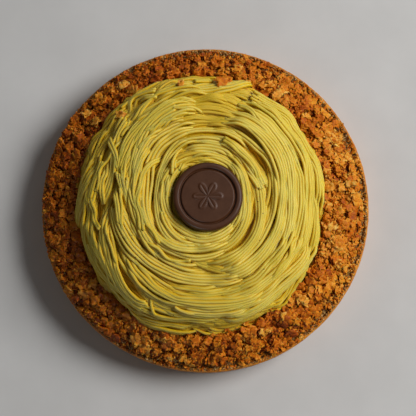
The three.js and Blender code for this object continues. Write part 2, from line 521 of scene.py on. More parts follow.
# Each ribbon: strands side by side, how it starts and ends, and its middle line in pixels
ribbons = [
    (7, "under", "under", [(102, 158), (88, 185), (80, 212), (80, 240), (90, 270), (110, 297), (140, 318),
                           (175, 331), (205, 335)]),
    (6, "under", "under", [(190, 333), (215, 336), (238, 332), (258, 324), (278, 310), (295, 290)]),
    (7, "under", "under", [(262, 318), (285, 302), (300, 282), (312, 258), (318, 232), (319, 205),
                           (316, 178), (309, 152)]),
    (7, "under", "cut", [(321, 215), (320, 190), (315, 165), (305, 142), (290, 120), (272, 106), (252, 95)]),
    (6, "cut", "under", [(252, 87), (232, 85), (212, 86), (190, 88), (170, 93), (152, 101)]),
    (4, "cut", "cut", [(215, 80), (200, 82), (190, 85)]),
    (8, "under", "under", [(212, 92), (185, 93), (162, 101), (145, 111), (131, 127), (121, 146),
                           (114, 165), (108, 185)]),
    (4, "cut", "under", [(158, 95), (146, 97), (136, 101), (130, 110), (124, 118)]),
    (5, "cut", "under", [(127, 120), (120, 132), (115, 144), (110, 158)]),
    (6, "under", "under", [(97, 175), (90, 205), (89, 230), (96, 258), (108, 280)]),
    (4, "under", "cut", [(94, 208), (92, 225), (95, 242), (102, 257)]),
    (5, "cut", "under", [(90, 241), (98, 260), (110, 278), (126, 294), (145, 308), (165, 317),
                         (195, 320), (225, 320)]),
    (5, "under", "under", [(108, 200), (104, 225), (106, 250), (113, 270), (122, 288), (136, 302), (155, 312)]),
    (9, "under", "under", [(238, 97), (258, 108), (276, 122), (291, 141), (301, 163), (306, 188),
                           (305, 215), (300, 240), (290, 262)]),
    (8, "under", "under", [(317, 238), (308, 258), (294, 275), (276, 292), (256, 305), (232, 314), (210, 317)]),
    (6, "under", "under", [(205, 101), (182, 104), (162, 113), (148, 124), (136, 138), (127, 153),
                           (121, 170), (118, 190)]),
    (8, "under", "under", [(228, 108), (250, 118), (268, 131), (281, 150), (288, 172), (291, 198),
                           (289, 222), (281, 246), (268, 266), (252, 281), (232, 290)]),
    (5, "under", "under", [(160, 306), (185, 311), (212, 313), (240, 309), (262, 300)]),
    (5, "under", "under", [(165, 288), (190, 293), (215, 293), (240, 288), (262, 277)]),
    (7, "under", "under", [(300, 225), (290, 247), (274, 268), (256, 284), (236, 294), (214, 299)]),
    (4, "under", "under", [(117, 235), (122, 255), (130, 272), (140, 288), (152, 300), (170, 308), (190, 310)]),
    (3, "under", "cut", [(108, 208), (108, 228), (112, 248), (118, 270), (127, 289), (138, 300), (148, 304)]),
    (7, "under", "under", [(215, 118), (238, 124), (256, 135), (270, 150), (279, 170), (281, 195),
                           (278, 218), (269, 240), (255, 258), (238, 270), (215, 277)]),
    (4, "under", "under", [(205, 110), (186, 113), (170, 119), (157, 128), (148, 140)]),
    (5, "under", "under", [(165, 148), (182, 136), (204, 132), (228, 136), (247, 148), (258, 165)]),
    (3, "cut", "under", [(120, 172), (122, 185), (129, 203), (137, 222), (148, 242), (164, 258),
                         (185, 267), (205, 268)]),
    (3, "cut", "under", [(125, 176), (128, 190), (133, 203), (141, 218)]),
    (4, "cut", "under", [(116, 190), (118, 203), (124, 218), (133, 235), (146, 252)]),
    (2, "under", "cut", [(250, 151), (260, 163), (266, 175), (269, 186)]),
    (5, "under", "under", [(232, 147), (246, 160), (257, 178), (262, 200), (261, 220), (253, 240),
                           (240, 254), (222, 264), (200, 268)]),
    (6, "under", "cut", [(198, 137), (222, 140), (238, 149), (250, 162), (259, 177), (265, 190)]),
    (5, "cut", "under", [(176, 107), (162, 115), (149, 128), (140, 143), (134, 162), (132, 182),
                         (133, 203), (138, 222), (147, 240), (160, 256)]),
    (5, "under", "under", [(121, 247), (128, 262), (138, 276), (151, 289), (168, 298), (190, 303),
                           (218, 304), (245, 300), (268, 290)]),
    (5, "cut", "under", [(114, 206), (118, 221), (126, 238), (138, 254), (154, 267), (174, 277),
                         (200, 282), (228, 281), (252, 274)]),
    (4, "under", "under", [(186, 161), (200, 156), (215, 156), (229, 162), (239, 173), (245, 188),
                           (246, 204), (242, 219), (233, 232)]),
    (4, "under", "under", [(240, 214), (232, 227), (220, 236), (206, 240), (191, 238), (179, 230), (170, 218)]),
    (4, "under", "under", [(170, 221), (165, 206), (165, 189), (171, 173), (182, 162), (197, 156)]),
    (4, "under", "under", [(175, 152), (190, 147), (207, 146), (224, 150), (238, 161)]),
    (3, "under", "under", [(172, 165), (166, 182), (164, 200), (168, 214), (178, 225), (190, 233),
                           (205, 236), (220, 233)]),
    (4, "under", "under", [(222, 151), (234, 160), (243, 176), (247, 196), (246, 216), (239, 233),
                           (226, 245), (208, 250)]),
    (3, "under", "under", [(224, 158), (233, 166), (240, 181), (242, 200), (240, 216), (232, 229), (221, 238)]),
    (3, "under", "under", [(200, 136), (184, 140), (171, 150), (163, 165), (158, 185), (157, 205),
                           (161, 224), (171, 238), (187, 245), (207, 244)]),
    (5, "under", "under", [(205, 122), (184, 126), (167, 134), (155, 145), (147, 160), (144, 180), (144, 202),
                           (148, 222), (157, 237), (171, 247), (190, 252), (212, 250), (232, 241)]),
    (2, "cut", "under", [(162, 208), (165, 220), (172, 231), (183, 239), (196, 240)]),
    (2, "under", "cut", [(203, 152), (191, 156), (183, 164), (179, 173)]),
    (2, "under", "cut", [(190, 145), (180, 150), (175, 160), (174, 174)]),
    (4, "cut", "cut", [(105, 157), (100, 172), (95, 187), (91, 204)]),
    (3, "cut", "cut", [(115, 152), (114, 166), (109, 183), (102, 202)]),
    (2, "cut", "cut", [(110, 137), (113, 146), (117, 157), (119, 168)]),
    (1, "under", "cut", [(144, 289), (150, 297), (152, 305), (156, 313), (161, 316)]),
    (1, "cut", "under", [(171, 302), (179, 308), (190, 312), (206, 313)]),
    (1, "cut", "under", [(325, 237), (318, 246), (313, 262)]),
]

dice = np.random.default_rng(cream["seed"])
fieldStep = 0.7 * mm
fieldReach = sectionLength + 4 * mm
fieldCells = int(2 * fieldReach / fieldStep) + 1
field = np.full((fieldCells, fieldCells), -cream["bedDepth"])     # how far out the cream stands so far


def cellsAt(flat):
    return np.clip(np.rint((flat + fieldReach) / fieldStep).astype(int), 0, fieldCells - 1)


def evenPath(points, step):          # a smooth path through the points, at even steps
    points = np.asarray(points, float)
    knots = np.concatenate([[0], np.cumsum(np.linalg.norm(np.diff(points, axis=0), axis=1))])
    slopes = np.gradient(points, knots, axis=0)
    at = np.linspace(0, knots[-1], max(4, int(knots[-1] / step)))
    index = np.clip(np.searchsorted(knots, at, side="right") - 1, 0, len(knots) - 2)
    span = (knots[index + 1] - knots[index])[:, None]
    share = (at - knots[index])[:, None] / span
    first = (2 * share ** 3 - 3 * share ** 2 + 1) * points[index]
    second = (3 * share ** 2 - 2 * share ** 3) * points[index + 1]
    leaving = (share ** 3 - 2 * share ** 2 + share) * span * slopes[index]
    arriving = (share ** 3 - share ** 2) * span * slopes[index + 1]
    return first + second + leaving + arriving


def sideways(path):                  # unit vectors across a path on the flat map
    along = np.gradient(path, axis=0)
    along /= np.linalg.norm(along, axis=1)[:, None] + 1e-12
    return np.column_stack([-along[:, 1], along[:, 0]])


def softened(values, width):
    width = max(1, int(round(width)))
    kernel = np.hanning(2 * width + 3)[1:-1]
    padded = np.pad(values, width, mode="edge")
    return np.convolve(padded, kernel / kernel.sum(), mode="valid")


def drift(count, wavelength, size):  # a slow random walk along a strand
    knots = dice.normal(0, size, max(3, int(count / wavelength) + 3))
    at = np.linspace(0, len(knots) - 1.001, count)
    return softened(np.interp(at, np.arange(len(knots)), knots), wavelength / 3)


def pressedAt(path):                 # 1 on the right and lower right, where the strands are merged
    angle = np.degrees(np.arctan2(path[:, 1], path[:, 0]))
    away = np.abs((angle + 15 + 180) % 360 - 180)
    return 1 - smoothstep(away, 60, 115)


def ceilingAt(path):                 # the disc holds the strands under it down
    points, _ = onDome(path, np.zeros(len(path)))
    beyond = np.hypot(points[:, 0] - disc["centre"][0], points[:, 1] - disc["centre"][1]) - disc["radius"]
    seat = disc["seat"] + np.tan(disc["tilt"]) * (points[:, 1] - disc["centre"][1])
    limit = seat - 0.2 * mm - points[:, 2] + cream["besideDisc"] * smoothstep(beyond, 0.8 * mm, 3 * mm)
    return limit + (cream["ceiling"] - limit) * smoothstep(beyond, 3 * mm, 18 * mm)


def restOn(path, radius, press, step):
    across = sideways(path)
    under = np.full(len(path), -1.0)
    for share in (-0.7, 0, 0.7):
        cells = cellsAt(path + across * (share * radius)[:, None])
        under = np.maximum(under, field[cells[:, 1], cells[:, 0]])
    reach = max(1, int(2.5 * mm / step))
    padded = np.pad(under, reach, mode="edge")
    bridged = np.max([padded[i:i + len(under)] for i in range(2 * reach + 1)], axis=0)
    centre = softened(bridged, 5 * mm / step) + radius * (1 - press)
    return np.minimum(centre, ceilingAt(path) - radius)


def markField(path, centre, radius):
    across = sideways(path)
    for share in np.linspace(-0.95, 0.95, 5):
        top = centre + radius * math.sqrt(1 - share * share)
        cells = cellsAt(path + across * (share * radius)[:, None])
        np.maximum.at(field, (cells[:, 1], cells[:, 0]), top)


def tube(path, centre, radius, sides):
    points, normal = onDome(path, centre)
    along = np.gradient(points, axis=0)
    along /= np.linalg.norm(along, axis=1)[:, None] + 1e-12
    side = np.cross(along, normal)
    side /= np.linalg.norm(side, axis=1)[:, None] + 1e-12
    lift = np.cross(side, along)
    rings = []
    for i in range(sides):
        turn = 2 * math.pi * i / sides
        out = cream["flattened"] * math.cos(turn) * side + math.sin(turn) * lift
        rings.append(points + radius[:, None] * out)
    count = len(points)
    around = np.stack(rings, 1).reshape(-1, 3)
    tips = [points[0] - along[0] * radius[0] * 0.35, points[-1] + along[-1] * radius[-1] * 0.35]
    rows = np.arange(count - 1)[:, None] * sides
    here = np.arange(sides)[None, :]
    after = (here + 1) % sides
    quads = np.stack([rows + here, rows + sides + here, rows + sides + after, rows + after], -1)
    faces = quads.reshape(-1, 4).tolist()
    first, last = count * sides, count * sides + 1
    end = (count - 1) * sides
    for i in range(sides):
        j = (i + 1) % sides
        faces.append([first, i, j])
        faces.append([last, end + j, end + i])
    # painted shade: the strand's flanks, away from its crest, are marked for the ochre of shade, and its ends a
    # little
    fromCrest = np.abs(90 - 360 * np.arange(sides) / sides)
    flankShade = smoothstep(np.minimum(fromCrest, 360 - fromCrest), 5, 65)
    return np.vstack([around, tips]), faces, np.concatenate([np.tile(flankShade, count), [0.3, 0.3]])


def layRibbon(middle, strands, start, finish, step, loose, crown=0.0):
    across = sideways(middle)
    count = len(middle)
    pressed = pressedAt(middle)
    spacing = blend(cream["spacing"], pressed)
    fan = np.maximum(0.78, 1 + 0.2 * drift(count, 30 * mm / step, 1))
    size = blend(cream["strandRadius"], pressed)
    bundle = np.sort(dice.integers(0, max(1, round(strands / (2.2 + 1.5 * pressed.mean()))), strands))
    opening = np.zeros((strands, count))
    for k in range(1, strands):
        if bundle[k] > bundle[k - 1]:
            opening[k:] += cream["opening"] * np.clip(drift(count, 20 * mm / step, 1.5), 0, 1.3)
            opening[k:] += drift(count, 16 * mm / step, cream["bundleWander"]) * loose
    opening -= opening.mean(axis=0)
    paths, radii, levels = [], [], []
    for k in range(strands):
        wander = drift(count, 14 * mm / step, cream["wander"]) * (1.3 - pressed) * loose
        offset = (k - (strands - 1) / 2) * spacing * fan + opening[k] + wander
        if strands > 2 and dice.random() < 0.1:
            offset += drift(count, 40 * mm / step, 2.4 * mm)
        paths.append(middle + across * offset[:, None])
        radii.append(size * dice.uniform(0.93, 1.07) * (1 + 0.05 * drift(count, 8 * mm / step, 1)))
        levels.append(restOn(paths[k], radii[k], 0.45 + 0.2 * pressed, step))
    levels = np.array(levels)
    for member in range(bundle.max() + 1):
        together = bundle == member
        if together.any():
            level = 0.7 * levels[together].mean(axis=0) + drift(count, 18 * mm / step, 0.5 * mm)
            levels[together] = 0.3 * levels[together] + level
    ribbonTone = dice.uniform(0.15, 0.85)
    laid = []
    longestTrim = [cream["trim"][kind] for kind in (start, finish)]
    for k in range(strands):
        trim = [int(dice.uniform(0, longest) / step) for longest in longestTrim]
        keep = np.arange(count)[trim[0]:max(trim[0] + 5, count - trim[1])]
        keep = keep[np.hypot(*paths[k][keep].T) < sectionLength - 1 * mm]
        if len(keep) < 5:
            continue
        path, radius = paths[k][keep], radii[k][keep]
        bulge = 1 - (2 * k / (strands - 1) - 1) ** 2 if strands > 3 else 0.5
        centre = np.minimum(levels[k][keep] + crown * bulge, ceilingAt(path) - radius)
        centre += drift(len(path), 12 * mm / step, 0.1 * mm)
        fromStart = np.arange(len(path)) * step
        fromEnd = fromStart[::-1]
        for kind, distance in ((start, fromStart), (finish, fromEnd)):
            if kind == "under":
                tuck = 1 - smoothstep(distance, 0, cream["tuckLength"])
                centre -= cream["tuckDepth"] * tuck
                radius *= 1 - 0.35 * tuck
        laid.append((path, centre, radius, ribbonTone + dice.uniform(-0.15, 0.15)))
    for path, centre, radius, _ in laid:
        markField(path, centre, radius)
    return laid


def windingMiddle(innermost, sweeps, steepness):     # part of a circle that isn't quite about the top
    reach = sectionLength * math.sqrt(dice.uniform(innermost, 1))
    start = dice.uniform(0, 2 * math.pi)
    sweep = math.radians(dice.uniform(*sweeps))
    count = int(sweep * reach / cream["bedStep"]) + 6
    angle = start + np.linspace(0, sweep, count)
    shift, phase = dice.uniform(0, 8 * mm), dice.uniform(0, 2 * math.pi)
    drop = dice.uniform(-steepness, steepness) * np.linspace(-0.5, 0.5, count)
    away = np.clip(reach + shift * np.cos(angle - phase) + drop, 16 * mm, sectionLength - 2 * mm)
    return np.column_stack([away * np.cos(angle), away * np.sin(angle)])


def looseMiddle():                   # a short stray strand, mostly on the left
    reach = dice.uniform(42, 112) * mm
    middle = math.radians(dice.normal(170, 55) if dice.random() < 0.75 else dice.uniform(0, 360))
    sweep = dice.uniform(22, 60) * mm / reach
    count = int(sweep * reach / cream["step"]) + 6
    angle = middle + np.linspace(-0.5, 0.5, count) * sweep
    away = reach + dice.uniform(-9, 9) * mm * np.linspace(-0.5, 0.5, count) + drift(count, 8, 1.2 * mm)
    return np.column_stack([away * np.cos(angle), away * np.sin(angle)])


def strandPiece(name, laid, sides, material, leastShade=0.0):
    parts = [tube(path, centre, radius, sides) for path, centre, radius, _ in laid]
    # painted shade: pieces deep in the gaps get at least this share of it all over, on top of their flanks
    parts = [(points, faces, leastShade + (1 - leastShade) * flankShade) for points, faces, flankShade in parts]
    piece = joined(name, parts, [strand[3] for strand in laid], True)
    install(piece, material, "chestnut_cream", "cream_mound")


def makeCreamCore(material):
    levels = np.linspace(1, 0, 26)
    flat = np.column_stack([levels * sectionLength, np.zeros(len(levels))])
    outline, _ = onDome(flat, np.full(len(levels), -cream["bedDepth"]))
    profile = [(max(0, (x - mound["centre"][0]) / mound["stretch"][0]), z) for x, _, z in outline]
    profile[-1] = (0, profile[-1][1])
    core = turned("creamCore", [(0, mound["foot"] + 0.2 * mm)] + profile, 96)
    points = meshPoints(core)
    points[:, :2] = points[:, :2] * mound["stretch"] + mound["centre"]
    placePoints(core, points)
    addAttribute(core.data, "tone", np.full(len(points), 0.3))
    # painted shade all over: the core shows only deep in the gaps between strands
    addAttribute(core.data, "groove", np.ones(len(points)))
    install(core, material, "chestnut_cream", "cream_mound")


def makeCream():
    material = creamFinish()
    bed = []
    for i in range(cream["bedRibbons"] + cream["crossRibbons"]):
        if i < cream["bedRibbons"]:
            middle = windingMiddle(0.03, (110, 260), 10 * mm)
        else:
            middle = windingMiddle(0.1, (50, 120), 44 * mm)
        bed += layRibbon(middle, int(dice.integers(3, 6)), "under", "under", cream["bedStep"], 1.5)
    third = math.ceil(len(bed) / 3)
    for i, name in enumerate(("creamBedLow", "creamBedMiddle", "creamBedHigh")):
        # the strands below, seen only through gaps, are half in painted shade at least
        strandPiece(name, bed[i * third:(i + 1) * third], cream["bedSides"], material, 0.5)
    top = []
    for strands, start, finish, pixels in ribbons:
        middle = evenPath([fromPixel(x, y) for x, y in pixels], cream["step"])
        crown = (min(0.3 * strands, 1.7) + (1.3 if start == finish == "cut" else 0)) * mm
        top += layRibbon(middle, strands, start, finish, cream["step"], 1, crown)
    for _ in range(cream["looseStrands"]):
        top += layRibbon(looseMiddle(), int(dice.integers(1, 3)), "under", "cut", cream["step"], 1)
    half = len(top) // 2
    strandPiece("creamRibbonsLower", top[:half], cream["sides"], material)
    strandPiece("creamRibbonsUpper", top[half:], cream["sides"], material)
    makeCreamCore(material)
    print("cream:", len(bed), "strands below,", len(top), "on top")


makeCream()


# ---- chocolate disc ----

def makeDisc():
    radius, thick, edge, foot = (disc[key] for key in ("radius", "thickness", "edgeRounding", "footRounding"))
    fieldLevel = thick - disc["fieldDepth"]
    fieldRadius = radius - disc["rimWidth"]
    profile = [(0, 0), (radius - foot, 0)]
    profile += arc(radius - foot, foot, foot, -60, 0, 3)
    profile += arc(radius - edge, thick - edge, edge, 0, 90, 10)
    profile += arc(fieldRadius + 1.3 * mm, thick - 1.2 * mm, 1.2 * mm, 90, 165, 7)
    profile += arc(fieldRadius - 0.3 * mm, thick - 1.4 * mm, 0.35 * mm, -20, -160, 5)     # bottom of the groove
    profile += arc(fieldRadius - 1.9 * mm, fieldLevel - 0.9 * mm, 0.9 * mm, 20, 90, 6)
    profile += [(step, fieldLevel) for step in np.linspace(fieldRadius - 2.2 * mm, 0, 44)]
    piece = turned("chocolateMedal", profile, disc["steps"])
    points = meshPoints(piece)
    away = np.hypot(points[:, 0], points[:, 1])
    angle = np.arctan2(points[:, 1], points[:, 0])
    inField = (points[:, 2] > fieldLevel - 0.1 * mm) & (away < fieldRadius - 1.8 * mm)
    petal = disc["petalLength"] * np.sqrt(np.abs(np.cos(disc["petals"] * angle / 2)))
    height = disc["petalHeight"] * smoothstep(petal - away, 0, 1.4 * mm)
    vein = 0.25 * mm * np.exp(-((away * np.sin(disc["petals"] * angle / 2)) / (1.6 * mm)) ** 2)
    points[:, 2] += np.where(inField, height - vein * smoothstep(petal - away, 1 * mm, 3 * mm), 0)
    points[:, :2] += disc["centre"]
    points[:, 2] += disc["seat"]
    turn = Matrix.Translation((*disc["centre"], disc["seat"])) @ Matrix.Rotation(disc["tilt"], 4, "X")
    turn = np.array(turn @ Matrix.Translation((-disc["centre"][0], -disc["centre"][1], -disc["seat"])))
    placePoints(piece, points @ turn[:3, :3].T + turn[:3, 3])
    install(piece, chocolateFinish(), "dark_chocolate", "chocolate_disc")
    print("disc")


makeDisc()


# ---- shell ----

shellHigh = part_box("tart_shell")[1]
shell = {
    "radius": shellHigh.x,
    "height": shellHigh.z,
    "wall": 3 * mm,
    "floor": 4 * mm,
    "footRounding": 2 * mm,
    "rimRounding": 1.3 * mm,
    "lumps": 0.35 * mm,
    "steps": 540,
}
innerRadius = shell["radius"] - shell["wall"]


def makeShell():
    radius, height, foot, rim = (shell[key] for key in ("radius", "height", "footRounding", "rimRounding"))
    profile = [(0, 0), (radius - 30 * mm, 0)]
    profile += arc(radius - foot, foot, foot, -90, 0, 6)
    profile += [(radius, level) for level in np.linspace(3 * mm, height - rim - 0.6 * mm, 22)]
    profile += arc(radius - rim, height - rim, rim, 0, 90, 5)
    profile += arc(innerRadius + rim, height - rim, rim, 90, 180, 5)
    profile += [(innerRadius, level) for level in np.linspace(height - rim - 1 * mm, shell["floor"], 6)]
    profile += [(0, shell["floor"])]
    piece = turned("bakedCase", profile, shell["steps"])
    points = meshPoints(piece)
    away = np.hypot(points[:, 0], points[:, 1])
    rough = 0.6 * lumps(points, 9 * mm, 3) + 0.3 * lumps(points, 3 * mm, 4)
    rough += 0.25 * lumps(points, 1.2 * mm, 5)
    out = smoothstep(away, radius - 6 * mm, radius - 1 * mm)
    inset = 1 - shell["lumps"] * out * (0.9 + rough) / np.maximum(away, 1 * mm)
    points[:, :2] *= inset[:, None]
    top = smoothstep(points[:, 2], height - 4 * mm, height)
    sunk = 0.9 + 0.8 * lumps(points, 4 * mm, 6) + 0.3 * lumps(points, 1.3 * mm, 7)
    points[:, 2] -= top * shell["lumps"] * sunk
    placePoints(piece, points)
    install(piece, shellFinish(), "baked_shell", "tart_shell")
    print("shell")


makeShell()


# ---- flakes and crumbs: a few shapes made one by one, copied all over the heap ----

def sheetShape(seed, across, along, curl, thickness, crumple):   # a bent scrap of pastry, one unit across
    deselectAll()
    bpy.ops.mesh.primitive_grid_add(x_subdivisions=across, y_subdivisions=along, size=1)
    piece = bpy.context.object
    random = np.random.default_rng(seed)
    points = meshPoints(piece)
    corner = np.where(np.hypot(points[:, 0], points[:, 1]) > 0.6, 0.78, 1.0)
    border = np.abs(points[:, :2]).max(axis=1) > 0.49
    jagged = np.where(border, random.uniform(0.68, 1.2, len(points)), 1.0)
    points[:, :2] *= (corner * jagged)[:, None]
    points[:, :2] += random.normal(0, 0.035, (len(points), 2))
    points[:, 1] *= random.uniform(0.6, 0.95)
    x, y = points[:, 0], points[:, 1]
    dished, twisted = random.normal(0, 0.4, 2)
    folds = [np.sin(random.uniform(5, 10) * (x * math.cos(way) + y * math.sin(way)) + way * 9)
             for way in random.uniform(0, 3.14, 2)]
    points[:, 2] += dished * y * y + twisted * x * y + crumple * (folds[0] + folds[1])
    points[:, 2] += random.normal(0, 0.02, len(points))
    placePoints(piece, points)
    bend = piece.modifiers.new("bend", "SIMPLE_DEFORM")
    bend.deform_method = "BEND"
    bend.deform_axis = "Y"
    bend.angle = curl
    solid = piece.modifiers.new("thickness", "SOLIDIFY")
    solid.thickness = thickness
    solid.offset = 0
    for name in ("bend", "thickness"):
        bpy.ops.object.modifier_apply(modifier=name)
    return takeShape(piece)


def crumbShape(seed, flatness):
    deselectAll()
    bpy.ops.mesh.primitive_ico_sphere_add(subdivisions=1, radius=0.5)
    piece = bpy.context.object
    random = np.random.default_rng(seed)
    points = meshPoints(piece)
    points *= random.uniform(0.68, 1.2, (len(points), 1))
    points *= (1, random.uniform(0.65, 0.95), flatness)
    placePoints(piece, points)
    return takeShape(piece)


def takeShape(piece):                # keeps a modelled shape's points, faces and a painted shade, darker towards its middle and underside, for copying
    points = meshPoints(piece)
    faces = [list(face.vertices) for face in piece.data.polygons]
    bpy.data.objects.remove(piece)
    # painted shade: darker in the middle and on the underside, lighter at the thin edges that catch the light
    inward = 1 - np.hypot(points[:, 0], points[:, 1]) / 0.5
    low = 0.5 - points[:, 2] / (np.ptp(points[:, 2]) + 0.01)
    return points, faces, (0.5 * inward + 0.6 * low + 0.2).clip(0, 1)


def bothSheets(first, second, gap):  # a flake of two leaves that come apart
    lifted = second[0] * 0.8 + np.array([0.1, 0.06, gap])
    faces = first[1] + [[i + len(first[0]) for i in face] for face in second[1]]
    return np.vstack([first[0], lifted]), faces, np.concatenate([first[2], second[2]])


heap = {
    "coreDepth": 1.9 * mm,
    "grid": 0.8 * mm,
    "gridHalf": 0.126,               # the grid reaches this far from the middle, each way
    "climb": 18 * mm,                # how far it comes up the cream
    "reach": 119 * mm,               # no flake lies further out, but for a few
    "overRim": 0.9 * mm,             # those lie this much further, most of them on the left
    "firstLayer": 900,               # medium flakes that fall before the rest
    "crestFlakes": 420,              # lean on the cream above the heap
    "spilled": 1500,                 # lie loose on the crumb and the rim
    "spillRing": (105 * mm, 120.5 * mm),     # from where to where those lie
    "usualHeight": 34 * mm,          # where a pixel of the picture is taken to meet it
    "seed": 23,
}
# Kinds of flakes: how many, smallest and largest size, how far they lie off the slope in degrees
kinds = {
    "large": (670, 5.0 * mm, 9.5 * mm, 16),
    "medium": (2150, 2.8 * mm, 5.6 * mm, 26),
    "small": (3400, 1.5 * mm, 3.0 * mm, 35),
    "grain": (2600, 0.6 * mm, 1.4 * mm, 40),
}
# Flakes that stand out, by pixel: place, size in mm, tone
standing = [
    ((124, 86), 8, 0.85), ((134, 93), 10, 0.75), ((141, 95), 7, 0.8), ((122, 115), 9, 0.85),
    ((96, 125), 9, 0.8), ((88, 114), 9, 0.75), ((98, 98), 9, 0.7), ((104, 100), 7, 0.6),
    ((174, 86), 9, 0.85), ((181, 87), 7, 0.8), ((222, 84), 11, 0.45), ((228, 80), 8, 0.5),
    ((217, 78), 7, 0.5), ((263, 94), 10, 0.75), ((276, 98), 9, 0.85), ((285, 104), 9, 0.6),
    ((262, 88), 8, 0.7), ((308, 141), 8, 0.5), ((314, 147), 8, 0.6), ((325, 172), 8, 0.8),
    ((326, 226), 8, 0.75), ((325, 205), 9, 0.5), ((332, 95), 6, 0.7), ((300, 300), 9, 0.8),
    ((305, 303), 7, 0.9), ((295, 297), 8, 0.7), ((283, 317), 7, 0.85), ((296, 322), 8, 0.75),
    ((262, 332), 7, 0.9), ((268, 330), 6, 0.85), ((97, 302), 10, 0.55), ((102, 308), 8, 0.5),
    ((112, 90), 8, 0.7), ((146, 338), 6, 0.7), ((164, 340), 6, 0.95), ((150, 100), 6, 0.7),
    ((283, 90), 7, 0.6), ((335, 160), 8, 0.8), ((340, 190), 8, 0.75), ((335, 245), 8, 0.6),
    ((275, 54), 4, 0.8), ((246, 54), 4, 0.7), ((303, 340), 5, 0.9), ((344, 120), 4, 0.7),
    ((170, 358), 4, 0.9), ((318, 171), 8, 0.6), ((322, 182), 7, 0.65), ((303, 130), 7, 0.6),
    ((246, 90), 6, 0.6), ((239, 82), 7, 0.5),
]

pile = np.random.default_rng(heap["seed"])
heapTree = BVHTree.FromObject(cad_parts["flake_ring"], bpy.context.evaluated_depsgraph_get())
heapCells = int(2 * heap["gridHalf"] / heap["grid"])
heapAxis = (np.arange(heapCells) + 0.5) * heap["grid"] - heap["gridHalf"]


def heapTopAt(x, y):                 # the heap's surface straight below a point, or nothing
    hit = heapTree.ray_cast(Vector((x, y, 0.2)), Vector((0, 0, -1)))
    return hit[0].z if hit[0] else None


heapGoal = np.full((heapCells, heapCells), np.nan)
for row, column in itertools.product(range(heapCells), repeat=2):
    x, y = heapAxis[column], heapAxis[row]
    if 80 * mm < math.hypot(x, y) < heap["gridHalf"]:
        top = heapTopAt(x, y)
        if top:
            heapGoal[row, column] = top
heapLevel = heapGoal - heap["coreDepth"]
heapMask = ~np.isnan(heapGoal)
slopeY, slopeX = np.gradient(np.nan_to_num(heapGoal, nan=shellHigh.z), heap["grid"])
spillAway = np.hypot(*np.meshgrid(heapAxis, heapAxis))
spillMask = ~heapMask & (spillAway > heap["spillRing"][0]) & (spillAway < heap["spillRing"][1])
heapGoal[spillMask] = shellHigh.z + 0.4 * mm
heapLevel[spillMask] = shellHigh.z - 0.6 * mm
slopeX[spillMask] = slopeY[spillMask] = 0


def heapCell(spots):                 # where points fall on the heap's grid, as columns and rows
    cells = (np.asarray(spots) + heap["gridHalf"]) / heap["grid"]
    return np.clip(cells, 0, heapCells - 1).astype(int)


def outerEdge(angle):                # how far out the heap lies at an angle
    away = np.arange(0.1, heap["gridHalf"], 0.25 * mm)
    cells = heapCell(away[:, None] * [math.cos(angle), math.sin(angle)])
    found = heapMask[cells[:, 1], cells[:, 0]]
    return away[found].max() if found.any() else 113 * mm


def turnTo(up, spin):                # a rotation whose Z axis points along up
    up = up / np.linalg.norm(up)
    first = np.cross(up, [math.cos(spin), math.sin(spin), 0.01])
    first /= np.linalg.norm(first)
    return np.column_stack([first, np.cross(up, first), up])


def dropFlake(shape, x, y, size, tilt, stand):
    column, row = heapCell((x, y))
    reach = int(0.35 * size / heap["grid"])
    area = tuple(slice(max(0, middle - reach), middle + reach + 1) for middle in (row, column))
    patch = heapLevel[area]
    if np.isnan(patch).all():
        return None
    level = 0.6 * np.nanmax(patch) + 0.4 * np.nanmean(patch)
    goal = heapGoal[row, column]
    if np.isnan(goal):
        goal = np.nanmean(heapGoal[area])
    level = min(level, goal + stand)
    lean = math.radians(abs(pile.normal(0, tilt)))
    way = pile.uniform(0, 2 * math.pi)
    up = np.array([-slopeX[row, column], -slopeY[row, column], 1])
    up /= np.linalg.norm(up)
    up += math.tan(min(lean, 1.2)) * np.array([math.cos(way), math.sin(way), 0])
    points = (shape[0] * size) @ turnTo(up, pile.uniform(0, 6.28)).T
    points += (x, y, level + 0.12 * size * math.sin(lean) + 0.05 * size)
    heapLevel[area] = np.fmax(patch, min(level + 0.07 * size + 0.2 * mm, goal + 1.4 * mm))
    spread = np.hypot(points[:, 0], points[:, 1]).max()
    reach = heap["reach"] + (heap["overRim"] if stand > 2 * mm or -x > 1.1 * abs(y) else 0)
    points[:, :2] *= min(1, reach / spread)
    return points, shape[1], shape[2]


def leanFlake(shape, flat, size, tilt):              # a flake on the cream, where the flat map says
    row, column = cellsAt(flat)[::-1]
    point, normal = onDome(flat[None, :], np.array([field[row, column] + 0.25 * size * math.sin(tilt)]))
    way = pile.uniform(0, 2 * math.pi)
    up = normal[0] + (0, 0, 0.9) + math.tan(tilt) * np.array([math.cos(way), math.sin(way), 0])
    return (shape[0] * size) @ turnTo(up, pile.uniform(0, 6.28)).T + point[0], shape[1], shape[2]


def fallOrder():                     # the kinds fall mixed, the large ones later, over a first layer
    left = {kind: count for kind, (count, *_) in kinds.items()}
    left["medium"] -= heap["firstLayer"]
    rest = [kind for kind, count in left.items() for _ in range(count)]
    late = pile.random(len(rest)) + np.array([0.4 if kind == "large" else 0.0 for kind in rest])
    return ["medium"] * heap["firstLayer"] + [rest[i] for i in np.argsort(late)]


def oneOf(shapes):
    return shapes[int(pile.integers(len(shapes)))]


